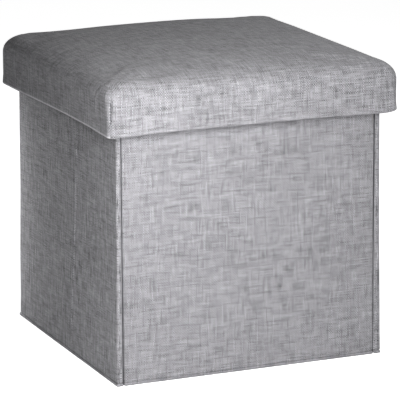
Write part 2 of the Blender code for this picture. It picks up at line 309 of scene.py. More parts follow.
def fibreboard(name, colour=(0.33, 0.21, 0.115)):
    g = Graph(name)
    o = g.coordinates.outputs["Object"]
    chips = g.cells(o, 300.0)
    fine = g.noise(o, scale=1300.0, detail=3.0, roughness=0.75)
    cloud = g.noise(o, scale=6.0, detail=4.0)
    factor = g.math("MINIMUM", g.mul(chips, 1.3), 1.0)
    total = g.add(g.affine(fine, 0.5, 0.72), g.affine(cloud, 0.35, -0.17))
    g.blend_colours(factor, colour, tuple(c * 1.5 for c in colour), total)
    g.bump(g.add(fine, chips), 0.35, 0.2 * MM)
    return g.finish(0.72, 0.35)


def foam(name, colour=(0.74, 0.68, 0.50)):
    g = Graph(name)
    o = g.coordinates.outputs["Object"]
    pores = g.cells(o, 700.0)
    cloud = g.noise(o, scale=20.0, detail=2.0)
    g.colour(g.add(g.affine(pores, 0.5, 0.72), g.affine(cloud, 0.2, -0.1)), colour)
    g.bump(pores, 0.8, 0.5 * MM)
    return g.finish(0.95, 0.15)


def thread(name, colour, twist=0.9 * MM):
    """Sewing thread or seam cord: dark, with a twisted ply."""
    g = Graph(name)
    o = g.coordinates.outputs["Object"]
    x, y, z = g.split(o)
    ply = g.math("SINE", g.mul(g.add(g.add(x, y), z), 2 * math.pi / twist))
    fuzz = g.noise(o, scale=1100.0, detail=2.0)
    g.colour(g.add(g.affine(ply, 0.18, 0.8), g.mul(fuzz, 0.4)), colour)
    g.bump(g.add(g.mul(ply, 0.5), fuzz), 0.6, 0.15 * MM)
    return g.finish(0.85, 0.25)


def ribbon(name, colour=(0.20, 0.20, 0.212)):
    """Woven webbing of the pull tab: ribs across, two darker selvedges."""
    g = Graph(name)
    x, y, z = g.split(g.coordinates.outputs["UV"])
    ribs = g.math("SINE", g.mul(y, 2 * math.pi / (1.6 * MM)))
    fine = g.math("SINE", g.mul(x, 2 * math.pi / (0.9 * MM)))
    fuzz = g.noise(g.coordinates.outputs["UV"], scale=1000.0, detail=2.0)
    edge = g.math("GREATER_THAN", g.math("ABSOLUTE", x), 11.4 * MM)
    total = g.add(g.affine(ribs, 0.12, 0.85), g.add(g.mul(g.mul(ribs, fine), 0.12), g.add(g.mul(fuzz, 0.3), g.mul(edge, -0.2))))
    g.colour(total, colour)
    g.bump(g.add(ribs, g.mul(fine, 0.4)), 0.7, 0.25 * MM)
    return g.finish(0.8, 0.3, 0.1)


LINEN_MAT = linen("grey_linen", slub=1.1)
LINEN_SIDE_MAT = linen("grey_linen_sides", slub=2.0, weft_share=0.6)
LINING_MAT = felt_lining("dark_lining")
CARD_MAT = cardboard("greyboard_panel")
BOARD_MAT = fibreboard("fibreboard_sheet")
FOAM_MAT = foam("seat_foam")
SEAM_MAT = thread("seam_dark", (0.060, 0.060, 0.066))
STITCH_MAT = thread("stitch_grey", (0.33, 0.33, 0.345), 0.6 * MM)
TAB_MAT = ribbon("tab_webbing")


# ------------------------------------------------------------------ mesh helpers
def add_object(name, verts, faces, uvs=None, material=None, smooth=True):
    mesh = bpy.data.meshes.new(name)
    mesh.from_pydata([tuple(map(float, v)) for v in verts], [], faces)
    if uvs is not None:
        layer = mesh.uv_layers.new(name="UVMap")
        layer.data.foreach_set("uv", np.asarray(uvs, np.float32).ravel())
    mesh.update()
    if smooth:
        mesh.shade_smooth()
    obj = bpy.data.objects.new(name, mesh)
    bpy.context.scene.collection.objects.link(obj)
    if material is not None:
        mesh.materials.append(material)
    return obj


def apply_modifiers(obj):
    """The evaluated mesh takes the place of the object's mesh, and its modifiers go."""
    bpy.context.view_layer.update()
    evaluated = obj.evaluated_get(bpy.context.evaluated_depsgraph_get())
    mesh = bpy.data.meshes.new_from_object(evaluated, preserve_all_data_layers=True,
                                           depsgraph=bpy.context.evaluated_depsgraph_get())
    obj.modifiers.clear()
    old = obj.data
    mesh.name = old.name + "_final"
    obj.data = mesh
    bpy.data.meshes.remove(old)
    return obj


def points_of(obj):
    co = np.zeros(len(obj.data.vertices) * 3)
    obj.data.vertices.foreach_get("co", co)
    return co.reshape(-1, 3)


def set_points(obj, co):
    obj.data.vertices.foreach_set("co", np.asarray(co, np.float32).ravel())
    obj.data.update()


def steps(*parts):
    """Joins ranges (start, end, count) into one rising list."""
    values = []
    for start, end, count in parts:
        for i in range(count + 1):
            values.append(start + (end - start) * i / count)
    values = sorted(values)
    kept = [values[0]]
    for value in values[1:]:
        if value - kept[-1] > 1e-7:
            kept.append(value)
    return kept


def soft_steps(low, high, radius, spacing, extra=()):
    """Stops along one side of a panel: close together in the rounded ends."""
    fine = [0.0, 0.22, 0.45, 0.7, 1.0]
    values = [low + radius * f for f in fine] + [high - radius * f for f in fine]
    count = max(1, round((high - low - 2 * radius) / spacing))
    values += [low + radius + (high - low - 2 * radius) * i / count for i in range(count + 1)]
    values += list(extra)
    values = sorted(values)
    kept = [values[0]]
    for value in values[1:]:
        if value - kept[-1] > 0.12 * MM:
            kept.append(value)
    kept[-1] = high
    return kept


def slab(name, a_stops, b_stops, thick, radius, shift, place, material=None, c_stops=None):
    """A soft-edged panel. a runs along its width, b up, c from its inner face to its outer face.

    shift(a, b, share) gives the (da, db, dc) by which a point leaves the plain rounded box, and
    place(a, b, c) puts it in the row frame. UVs are cloth coordinates in metres.
    """
    c_list = c_stops or [0.0, 0.22 * radius, 0.5 * radius, radius, thick - radius,
                         thick - 0.7 * radius, thick - 0.45 * radius, thick - 0.22 * radius, thick]
    lists = (a_stops, b_stops, c_list)
    na, nb, nc = len(a_stops), len(b_stops), len(c_list)
    low = [values[0] for values in lists]
    high = [values[-1] for values in lists]
    index, verts, base = {}, [], []

    def vertex(i, j, k):
        key = (i, j, k)
        if key in index:
            return index[key]
        p = np.array([a_stops[i], b_stops[j], c_list[k]])
        core = np.minimum(np.maximum(p, np.array(low) + radius), np.array(high) - radius)
        d = p - core
        length = np.linalg.norm(d)
        on = [p[n] < low[n] + 1e-9 or p[n] > high[n] - 1e-9 for n in range(3)]
        if length > 1e-9 and any(on):
            p = core + d * (radius / length)
        share = (p[2] - low[2]) / (high[2] - low[2])
        da, db, dc = shift(p[0], p[1], share)
        base.append((a_stops[i], b_stops[j], c_list[k]))
        verts.append(place(p[0] + da, p[1] + db, p[2] + dc))
        index[key] = len(verts) - 1
        return index[key]

    faces, uvs = [], []

    def quad(corners, uv_of):
        faces.append([vertex(*c) for c in corners])
        for c in corners:
            uvs.append(uv_of(a_stops[c[0]], b_stops[c[1]], c_list[c[2]]))

    for i in range(na - 1):
        for j in range(nb - 1):
            quad([(i, j, nc - 1), (i + 1, j, nc - 1), (i + 1, j + 1, nc - 1), (i, j + 1, nc - 1)], lambda a, b, c: (a, b))
            quad([(i, j, 0), (i, j + 1, 0), (i + 1, j + 1, 0), (i + 1, j, 0)], lambda a, b, c: (a, b + 0.5))
    for j in range(nb - 1):
        for k in range(nc - 1):
            quad([(0, j, k), (0, j, k + 1), (0, j + 1, k + 1), (0, j + 1, k)], lambda a, b, c: (a - (thick - c), b))
            quad([(na - 1, j, k), (na - 1, j + 1, k), (na - 1, j + 1, k + 1), (na - 1, j, k + 1)],
                 lambda a, b, c: (a + (thick - c), b))
    for i in range(na - 1):
        for k in range(nc - 1):
            quad([(i, 0, k), (i + 1, 0, k), (i + 1, 0, k + 1), (i, 0, k + 1)], lambda a, b, c: (a, b - (thick - c)))
            quad([(i, nb - 1, k), (i, nb - 1, k + 1), (i + 1, nb - 1, k + 1), (i + 1, nb - 1, k)],
                 lambda a, b, c: (a, b + (thick - c)))
    obj = add_object(name, verts, faces, uvs, material)
    bm = bmesh.new()
    bm.from_mesh(obj.data)
    if bm.calc_volume(signed=True) < 0:
        bmesh.ops.reverse_faces(bm, faces=bm.faces[:])
        bm.to_mesh(obj.data)
        obj.data.update()
    bm.free()
    obj.data.shade_smooth()
    return obj


def waves(a, b, seed, scale=9.0):
    """Slow swelling of padded cloth, about -1 to 1."""
    p = Vector((a * scale + seed * 3.7, b * scale - seed * 1.9, seed * 5.3))
    return 1.6 * noise.noise(p) + 0.7 * noise.noise(p * 2.3 + Vector((4.0, 1.0, 7.0)))


def bell(x, width):
    return math.exp(-(x / width) ** 2)


def smooth(x, a, b):
    t = min(1.0, max(0.0, (x - a) / (b - a)))
    return t * t * (3 - 2 * t)


# ------------------------------------------------------------------ body: how far the cloth stands off the board
FLARE = ((-0.01, 2.3), (0.0, 2.2), (0.03, 1.6), (0.10, 0.8), (0.20, -0.3), (0.31, -0.9), (0.36, -0.9))


def flare(z):
    for (z1, f1), (z2, f2) in zip(FLARE, FLARE[1:]):
        if z <= z2:
            t = max(0.0, (z - z1) / (z2 - z1))
            return (f1 + (f2 - f1) * t) * MM
    return FLARE[-1][1] * MM


SKIN_THICK = WALL - 0.7 * MM                  # the padded skin of a wall, over its lining
SKIN_Y, SKIN_X = PANEL_Y + 0.7 * MM, PANEL_X + 0.7 * MM
HEM_TOP = OVER_BASE + 0.2 * MM
HEM_LOW = 0.2 * MM
SKIN_LOW = OVER_BASE
SKIN_HIGH = WALL_TOP


# front wall ------------------------------------------------------------------
def front_shift(a, b, share):
    out = flare(b) + 0.30 * MM * waves(a, b, 1.0)
    edge = FRONT_HALF - abs(a)
    out -= 0.7 * MM * bell(edge, 4.5 * MM)
    return 0.0, 0.0, share * out


front_a = soft_steps(-FRONT_HALF, FRONT_HALF, 1.9 * MM, 5.5 * MM,
                     [s * (FRONT_HALF - d * MM) for s in (-1, 1) for d in (3.0, 4.5, 6.0, 8.0, 11.0)])
front_b = soft_steps(SKIN_LOW, SKIN_HIGH, 1.9 * MM, 6.5 * MM)
front_skin = slab("front_wall_upholstery", front_a, front_b, SKIN_THICK, 1.9 * MM, front_shift,
                  lambda a, b, c: (a, -(SKIN_Y + c), b), LINEN_MAT)
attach(front_skin, "front_frame")
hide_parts("front_wall_cover")


# back wall -------------------------------------------------------------------
def back_shift(a, b, share):
    out = flare(b) + 0.30 * MM * waves(a, b, 7.0)
    out -= 0.7 * MM * bell(FRONT_HALF - abs(a), 4.5 * MM)
    return 0.0, 0.0, share * out


back_skin = slab("back_wall_upholstery", front_a, front_b, SKIN_THICK, 1.9 * MM, back_shift,
                 lambda a, b, c: (-a, SKIN_Y + c, b), LINEN_MAT)
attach(back_skin, "back_wall")
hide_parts("back_wall_cover")


# side walls: one cloth over both halves, unbroken across the fold line -----
CREASE = ((0.000, -17.6), (0.0335, -21.1), (0.097, -27.1), (0.1395, -32.2), (0.201, -34.5), (0.2629, -40.4), (0.35, -46.5))


def crease_y(z):
    for (z1, y1), (z2, y2) in zip(CREASE, CREASE[1:]):
        if z <= z2:
            t = max(0.0, (z - z1) / (z2 - z1))
            return (y1 + (y2 - y1) * t) * MM
    return CREASE[-1][1] * MM


def side_shift_for(side):
    def side_shift(a, b, share):
        y = -a if side < 0 else a
        out = flare(b) + 0.34 * MM * waves(a, b, 3.0 + side)
        along = flare(b) * smooth(abs(y), BODY_Y - 9 * MM, BODY_Y - 2 * MM) * (1 if a > 0 else -1)
        if side < 0:
            # an old press mark in the cloth, leaning forward as it rises
            w = y - crease_y(b)
            fade = smooth(b, 0.004, 0.03) * (1 - smooth(b, 0.255, 0.315))
            out += fade * (1.05 * MM * bell(w - 1.7 * MM, 1.4 * MM) - 0.62 * MM * bell(w + 0.6 * MM, 0.8 * MM) + 0.40 * MM * bell(w + 2.6 * MM, 1.5 * MM))
        # the far edge rolls in a little, as the cloth is pulled round the board
        out -= 1.0 * MM * smooth(y, BODY_Y - 16 * MM, BODY_Y)
        return share * along, 0.0, share * out
    return side_shift


for side, side_name in ((-1, "left"), (1, "right")):
    extra = [0.3 * MM * i for i in range(-5, 6)]
    extra += [s * (BODY_Y - d * MM) for s in (-1, 1) for d in (3.2, 5.0, 7.0, 9.0, 12.0, 16.0)]
    if side < 0:
        extra += [i * 0.9 * MM for i in range(15, 57)]
    side_a = soft_steps(-BODY_Y, BODY_Y, 2.2 * MM, 6.0 * MM, extra)
    skin = slab(side_name + "_side_upholstery", side_a, front_b, SKIN_THICK, 1.9 * MM, side_shift_for(side),
                (lambda a, b, c: (-(SKIN_X + c), -a, b)) if side < 0 else (lambda a, b, c: (SKIN_X + c, a, b)),
                LINEN_SIDE_MAT)
    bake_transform(skin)
    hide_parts(side_name + "_front_panel_cover", side_name + "_rear_panel_cover",
                side_name + "_front_edge_binding", side_name + "_rear_edge_binding", side_name + "_fold_seam")

# inner edge of the bindings: the cloth returns to the groove at each end of the side walls
for side, side_name in ((-1, "left"), (1, "right")):
    for end, end_name, body in ((-1, "front", side_name + "_front_half"), (1, "rear", side_name + "_rear_half")):
        y_a, y_b = sorted((end * (BODY_Y - 1.6 * MM), end * (BODY_Y - 11.0 * MM)))
        ys = soft_steps(y_a, y_b, 0.5 * MM, 2.0 * MM)
        zs = soft_steps(SKIN_LOW, SKIN_HIGH, 0.5 * MM, 9.0 * MM)
        inner = slab(side_name + "_" + end_name + "_edge_return", ys, zs, 1.0 * MM, 0.45 * MM,
                     lambda a, b, c: (0.0, 0.0, 0.0),
                     (lambda a, b, c: (-(PANEL_X + c), a, b)) if side < 0 else (lambda a, b, c: (PANEL_X + c, a, b)),
                     LINEN_MAT, c_stops=[0.0, 0.2 * MM, 0.45 * MM, 0.55 * MM, 0.8 * MM, 1.0 * MM])
        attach(inner, body)

# hems: the folded lower edge that stands on the floor -----------------------
HEM_THICK = SKIN_THICK + 0.35 * MM


def hem(name, low, high, place, body, squash_joint=None, flat_ends=(False, False)):
    stops = soft_steps(low, high, 0.8 * MM, 7.0 * MM)
    rows = soft_steps(HEM_LOW, HEM_TOP, 1.1 * MM, 1.0 * MM)

    def shift(a, b, share):
        return 0.0, 0.0, share * (flare(0.0) + 0.25 * MM * waves(a, 0.0, 5.0) - 0.35 * MM)

    piece = slab(name, stops, rows, HEM_THICK, 1.1 * MM, shift, place, LINEN_MAT)
    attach(piece, body)
    if squash_joint:
        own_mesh(piece)
    return piece


hem("front_hem", -FRONT_HALF, FRONT_HALF, lambda a, b, c: (a, -(SKIN_Y + c), b), "front_frame")
hem("back_hem", -FRONT_HALF, FRONT_HALF, lambda a, b, c: (-a, SKIN_Y + c, b), "back_wall", "left_front_corner")
for side, side_name in ((-1, "left"), (1, "right")):
    joint = side_name + "_front_corner"
    if side < 0:
        at = lambda a, b, c: (-(SKIN_X + c), -a, b)
        spans = (("front", 0.3 * MM, HINGE_Y - 0.2 * MM), ("rear", -HINGE_Y + 0.2 * MM, -0.3 * MM))
    else:
        at = lambda a, b, c: (SKIN_X + c, a, b)
        spans = (("front", -HINGE_Y + 0.2 * MM, -0.3 * MM), ("rear", 0.3 * MM, HINGE_Y - 0.2 * MM))
    for half, low, high in spans:
        hem(side_name + "_" + half + "_hem", low, high, at, side_name + "_" + half + "_half", joint)
    ends = (("front", 1 if side < 0 else -1), ("rear", -1 if side < 0 else 1))
    for half, sign in ends:
        low, high = sorted((sign * (HINGE_Y - 0.4 * MM), sign * (BODY_Y + flare(0.0) - 0.4 * MM)))
        corner_hem = hem(side_name + "_" + half + "_corner_hem", low, high, at, side_name + "_" + half + "_half")
        # folded flat, the two halves' outer faces press these ends against their boards
        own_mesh(corner_hem)


# ------------------------------------------------------------------ linings and their stitches
def flat_sheet(name, width, length, thick, place, material, spacing=7.0 * MM, sag=0.25 * MM, seed=11.0, low=0.0):
    a_stops = soft_steps(-width / 2, width / 2, 0.25 * MM, spacing)
    b_stops = soft_steps(low, low + length, 0.25 * MM, spacing)

    def shift(a, b, share):
        return 0.0, 0.0, sag * waves(a, b, seed) * smooth(width / 2 - abs(a), 0.0, 20 * MM) * 0.5

    return slab(name, a_stops, b_stops, thick, 0.25 * MM, shift, place, material,
                c_stops=[0.0, 0.1 * MM, 0.25 * MM, thick - 0.25 * MM, thick - 0.1 * MM, thick])


def stitches(name, runs, body, length=3.0 * MM, gap=1.2 * MM, radius=0.22 * MM, material=STITCH_MAT):
    """Rows of single stitches: small lozenge beads. runs are (start, end, normal)."""
    verts, faces = [], []
    for start, end, normal in runs:
        start, end, normal = Vector(start), Vector(end), Vector(normal).normalized()
        total = (end - start).length
        direction = (end - start).normalized()
        across = direction.cross(normal)
        count = max(1, int(total / (length + gap)))
        pitch = total / count
        for i in range(count):
            centre = start + direction * (pitch * (i + 0.5))
            ring_at = ((-0.5, 0.35), (-0.3, 1.0), (0.0, 1.1), (0.3, 1.0), (0.5, 0.35))
            first = len(verts)
            for t, r in ring_at:
                for s in range(6):
                    angle = 2 * math.pi * s / 6
                    verts.append(centre + direction * (t * length)
                                 + across * (math.cos(angle) * radius * r) + normal * (math.sin(angle) * radius * r))
            for ring in range(4):
                for s in range(6):
                    a, b = first + ring * 6 + s, first + ring * 6 + (s + 1) % 6
                    faces.append((a, b, b + 6, a + 6))
            faces.append(tuple(first + s for s in reversed(range(6))))
            faces.append(tuple(first + 24 + s for s in range(6)))
    obj = add_object(name, verts, faces, None, material)
    bm = bmesh.new()
    bm.from_mesh(obj.data)
    bmesh.ops.recalc_face_normals(bm, faces=bm.faces[:])
    bm.to_mesh(obj.data)
    bm.free()
    obj.data.shade_smooth()
    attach(obj, body)
    return obj


LINING_LOW, LINING_HIGH = OVER_BASE + 1.2 * MM, WALL_TOP - 17 * MM
LINING_Y, LINING_X = PANEL_Y + 0.05 * MM, PANEL_X + 0.05 * MM
HALF_LINING = HINGE_Y - 3.4 * MM
HALF_MIDDLE = HINGE_Y / 2
LINING_THICK = 0.6 * MM
lining_length = LINING_HIGH - LINING_LOW
wall_linings = (
    ("front_wall", "front_frame", 2 * (FRONT_HALF - 1.5 * MM), 0.0, lambda a, b, c: (-a, -(LINING_Y + LINING_THICK - c), b)),
    ("back_wall", "back_wall", 2 * (FRONT_HALF - 1.5 * MM), 0.0, lambda a, b, c: (a, LINING_Y + LINING_THICK - c, b)),
    ("left_front_panel", "left_front_half", HALF_LINING, -HALF_MIDDLE, None),
    ("left_rear_panel", "left_rear_half", HALF_LINING, HALF_MIDDLE, None),
    ("right_front_panel", "right_front_half", HALF_LINING, -HALF_MIDDLE, None),
    ("right_rear_panel", "right_rear_half", HALF_LINING, HALF_MIDDLE, None),
)
for number, (panel, body, width, middle, at) in enumerate(wall_linings):
    if at is None:
        s = -1 if panel.startswith("left") else 1
        at = (lambda a, b, c, s=s, m=middle: (s * (LINING_X + LINING_THICK - c), m + (a if s < 0 else -a), b))
    piece = flat_sheet(panel + "_lining_cloth", width, lining_length, LINING_THICK, at, LINING_MAT,
                       seed=11.0 + number, sag=0.0, low=LINING_LOW)
    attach(piece, body)
    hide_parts(panel + "_lining")
    if panel == "front_wall":
        runs = [((-width / 2 + 3 * MM, -LINING_Y, z), (width / 2 - 3 * MM, -LINING_Y, z), (0, 1, 0))
                for z in (LINING_HIGH - 3 * MM,)]
    elif panel == "back_wall":
        runs = [((-width / 2 + 3 * MM, LINING_Y, z), (width / 2 - 3 * MM, LINING_Y, z), (0, -1, 0))
                for z in (LINING_HIGH - 3 * MM,)]
    else:
        runs = [((s * LINING_X, middle - width / 2 + 3 * MM, z), (s * LINING_X, middle + width / 2 - 3 * MM, z), (-s, 0, 0))
                for z in (LINING_HIGH - 3 * MM,)]
    stitches(panel + "_lining_stitches", runs, body, radius=0.2 * MM)

# ------------------------------------------------------------------ base: padded cover, stitched border, pull tab
base_low, base_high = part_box("base_lining")
tab_low, tab_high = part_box("base_pull_tab")


def base_shift(a, b, share):
    edge = min(abs(abs(a) - base_high.x), abs(b - base_low.y), abs(b - base_high.y))
    out = 0.10 * MM * waves(a, b, 17.0, 14.0) - 0.22 * MM * bell(edge - 9.0 * MM, 1.6 * MM)
    if abs(a) < tab_high.x + 1.2 * MM and b > tab_low.y - 1.2 * MM:
        out = -0.5 * MM
    return 0.0, 0.0, share * out


base_a = soft_steps(base_low.x, base_high.x, 0.4 * MM, 6.5 * MM,
                    [s * (base_high.x - d * MM) for s in (-1, 1) for d in (6.5, 7.5, 8.5, 9.5, 10.5, 11.5)]
                    + [s * (tab_high.x + d * MM) for s in (-1, 1) for d in (1.1, 1.3)])
base_b = soft_steps(base_low.y, base_high.y, 0.4 * MM, 6.5 * MM,
                    [base_low.y + d * MM for d in (6.5, 7.5, 8.5, 9.5, 10.5, 11.5)]
                    + [base_high.y - d * MM for d in (6.5, 7.5, 8.5, 9.5, 10.5, 11.5)]
                    + [tab_low.y - 1.1 * MM, tab_low.y - 1.3 * MM])
base_thick = base_high.z - base_low.z
base_pad = slab("base_cover_cloth", base_a, base_b, base_thick, 0.4 * MM, base_shift,
                lambda a, b, c: (a, b, base_low.z + c), LINING_MAT,
                c_stops=[0.0, 0.15 * MM, 0.4 * MM, base_thick - 0.4 * MM, base_thick - 0.15 * MM, base_thick])
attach(base_pad, "base")
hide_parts("base_lining")
inset = 9.0 * MM
zs = base_high.z - 0.20 * MM
x0, x1, y0, y1 = base_low.x + inset, base_high.x - inset, base_low.y + inset, base_high.y - inset
stitches("base_border_stitches",
         [((x0, y0, zs), (x1, y0, zs), (0, 0, 1)), ((x0, y1, zs), (-tab_high.x - 2 * MM, y1, zs), (0, 0, 1)),
          ((tab_high.x + 2 * MM, y1, zs), (x1, y1, zs), (0, 0, 1)),
          ((x0, y0, zs), (x0, y1, zs), (0, 0, 1)), ((x1, y0, zs), (x1, y1, zs), (0, 0, 1))],
         "base", radius=0.2 * MM)


def tab_mesh():
    """A short loop of ribbon lying flat on the cover, with a slight waviness."""
    width, length = 2 * tab_high.x - 0.6 * MM, tab_high.y - tab_low.y - 0.8 * MM
    a_stops = soft_steps(-width / 2, width / 2, 0.3 * MM, 3.0 * MM)
    b_stops = soft_steps(0.0, length, 0.3 * MM, 2.5 * MM)

    def shift(a, b, share):
        return 0.0, 0.0, 0.12 * MM * waves(a, b, 23.0, 40.0)

    thick = 0.85 * MM
    return slab("pull_tab_ribbon", a_stops, b_stops, thick, 0.3 * MM, shift,
                lambda a, b, c: (a, tab_low.y + 0.4 * MM + b, tab_low.z + 0.05 * MM + c), TAB_MAT,
                c_stops=[0.0, 0.12 * MM, 0.3 * MM, thick - 0.3 * MM, thick - 0.12 * MM, thick])


tab = tab_mesh()
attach(tab, "base")
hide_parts("base_pull_tab")
tz = tab_low.z + 0.95 * MM
bx, by0, by1 = tab_high.x - 3.0 * MM, tab_low.y + 3.5 * MM, tab_low.y + 18.0 * MM
stitches("pull_tab_stitches",
         [((-bx, by0, tz), (bx, by0, tz), (0, 0, 1)), ((-bx, by1, tz), (bx, by1, tz), (0, 0, 1)),
          ((-bx, by0, tz), (-bx, by1, tz), (0, 0, 1)), ((bx, by0, tz), (bx, by1, tz), (0, 0, 1)),
          ((-bx, by0, tz), (bx, by1, tz), (0, 0, 1)), ((-bx, by1, tz), (bx, by0, tz), (0, 0, 1))],
         "base", length=2.2 * MM, gap=0.9 * MM, radius=0.18 * MM)

# ------------------------------------------------------------------ lid
CORNER_STEPS = 6


def side_stops():
    """Shares along a side between its rounded corners, closer together towards the ends."""
    count = 58
    values = []
    for i in range(count + 1):
        t = -1 + 2 * i / count
        values.append(0.62 * t + 0.38 * math.sin(t * math.pi / 2) if abs(t) < 1 else t)
    return [v / 1.0 for v in values]


STOPS = [("c", -1, 1 - i / CORNER_STEPS) for i in range(CORNER_STEPS)]
STOPS += [("s", 0, t) for t in side_stops()]
STOPS += [("c", 1, (i + 1) / CORNER_STEPS) for i in range(CORNER_STEPS)]
N = len(STOPS) - 1


def along(stop, half, radius):
    """(sideways, outward, developed sideways) of a ring's point on one side."""
    kind, sign, t = stop
    if kind == "s":
        return t * (half - radius), half, t * (half - radius)
    angle = t * math.pi / 4
    return (sign * (half - radius + radius * math.sin(angle)), half - radius + radius * math.cos(angle),
            sign * (half - radius + radius * angle))


def turn(side, sideways, outward):
    """Side 0 front, 1 right, 2 back, 3 left: to x, y."""
    return ((sideways, -outward), (outward, sideways), (-sideways, outward), (-outward, -sideways))[side]


TOP_HALF, TOP_RADIUS = LID_HALF - LID_ROLL, 17 * MM


def top_point(si, sj):
    half, radius = TOP_HALF, TOP_RADIUS
    if si[0] == "s" and sj[0] == "s":
        return si[2] * (half - radius), sj[2] * (half - radius)
    if si[0] == "c" and sj[0] == "s":
        return si[1] * (half - radius + radius * si[2]), sj[2] * (half - radius)
    if si[0] == "s":
        return si[2] * (half - radius), sj[1] * (half - radius + radius * sj[2])
    p, q = si[2], sj[2]
    m = max(p, q)
    if m < 1e-9:
        return si[1] * (half - radius), sj[1] * (half - radius)
    angle = math.pi / 4 * q / p if p >= q else math.pi / 2 - math.pi / 4 * p / q
    return (si[1] * (half - radius + radius * m * math.cos(angle)),
            sj[1] * (half - radius + radius * m * math.sin(angle)))


CROWN = 6.4 * MM


def crown(x, y):
    return CROWN * (1 - abs(x / TOP_HALF) ** 2.4 * 1.0) * (1 - abs(y / TOP_HALF) ** 2.4 * 1.0) if max(abs(x), abs(y)) < TOP_HALF else 0.0


def lid_rings():
    """(half, z, corner radius, developed distance from the top's edge)."""
    rings = []
    centre = LID_SHOULDER - LID_ROLL
    for i in range(1, 9):
        angle = math.pi / 2 * (1 - i / 8)
        rings.append((LID_HALF - LID_ROLL + LID_ROLL * math.cos(angle), centre + LID_ROLL * math.sin(angle),
                      13 * MM + 4 * MM * math.sin(angle), LID_ROLL * (math.pi / 2 - angle)))
    dist = LID_ROLL * math.pi / 2
    z = centre
    count = 9
    skirt_end = SKIRT_BOTTOM + 2.2 * MM
    for i in range(1, count + 1):
        zz = centre + (skirt_end - centre) * i / count
        t = i / count
        bulge = 0.45 * MM * bell(zz - (SKIRT_BOTTOM + 3.5 * MM), 3.5 * MM) - 0.5 * MM * math.sin(math.pi * t) * 0.6
        rings.append((LID_HALF - 0.5 * MM * t + bulge, zz, (13 - 5 * t) * MM, dist + (centre - zz)))
    dist += centre - skirt_end
    outer, radius = rings[-1][0], 2.2 * MM
    for i in range(1, 6):
        angle = -math.pi / 2 * i / 5
        rings.append((outer - radius + radius * math.cos(angle), skirt_end + radius * math.sin(angle),
                      8 * MM, dist + radius * -angle))
    dist += radius * math.pi / 2
    flange = 182.35 * MM
    flat_from, flat_to = outer - radius, flange + 1.8 * MM
    for i in range(1, 4):
        half = flat_from + (flat_to - flat_from) * i / 3
        rings.append((half, SKIRT_BOTTOM + 0.1 * MM * math.sin(math.pi * i / 3), 8 * MM - (outer - half), dist + flat_from - half))
    dist += flat_from - flat_to
    for i in range(1, 5):
        angle = math.pi / 2 * i / 4
        rings.append((flat_to - 1.8 * MM * math.sin(angle), SKIRT_BOTTOM + 1.8 * MM * (1 - math.cos(angle)),
                      6 * MM, dist + 1.8 * MM * angle))
    dist += 1.8 * MM * math.pi / 2
    for i in range(1, 5):
        rings.append((flange, SKIRT_BOTTOM + 1.8 * MM + 4.2 * MM * i, 5 * MM, dist + 4.2 * MM * i))
    return rings


RINGS = lid_rings()
top_index, verts = {}, []
for i, si in enumerate(STOPS):
    for j, sj in enumerate(STOPS):
        x, y = top_point(si, sj)
        top_index[i, j] = len(verts)
        verts.append((x, y, LID_SHOULDER + crown(x, y)))


def ring_key(side, i):
    """Where a ring's point sits on the border of the top's lattice."""
    return ((i, 0), (N, i), (N - i, N), (0, N - i))[side]


ring_index = [{} for _ in range(len(RINGS) + 1)]
for side in range(4):
    for i in range(N):
        ring_index[0][side, i] = top_index[ring_key(side, i)]
for number, (half, z, radius, dist) in enumerate(RINGS, 1):
    for side in range(4):
        for i in range(N):
            sideways, outward, _ = along(STOPS[i], half, radius)
            x, y = turn(side, sideways, outward)
            ring_index[number][side, i] = len(verts)
            verts.append((x, y, z))


def ring_vertex(number, side, i):
    return ring_index[number][(side, i) if i < N else ((side + 1) % 4, 0)]


faces, uvs = [], []
for i in range(N):
    for j in range(N):
        corners = ((i, j), (i + 1, j), (i + 1, j + 1), (i, j + 1))
        faces.append([top_index[c] for c in corners])
        uvs += [verts[top_index[c]][:2] for c in corners]
dists = [0.0] + [ring[3] for ring in RINGS]
shapes = [(TOP_HALF, LID_SHOULDER, TOP_RADIUS, 0.0)] + RINGS
for number in range(len(RINGS)):
    for side in range(4):
        for i in range(N):
            corners = ((number + 1, i), (number + 1, i + 1), (number, i + 1), (number, i))
            faces.append([ring_vertex(n, side, c) for n, c in corners])
            for n, c in corners:
                half, z, radius, dist = shapes[n]
                developed = along(STOPS[c], half, radius)[2]
                uvs.append(turn(side, developed, TOP_HALF + dist))
# the lid's linen carries a painted highlight along the folded hem of its side skirts, HEM_DIST from the top's edge
HEM_DIST = RINGS[17][3]
LINEN_LID_MAT = linen("grey_linen_lid", slub=1.25, hem_at=TOP_HALF + HEM_DIST)
lid = add_object("lid_upholstery", verts, faces, uvs, LINEN_LID_MAT)
LID_TOP_COUNT = len(top_index)


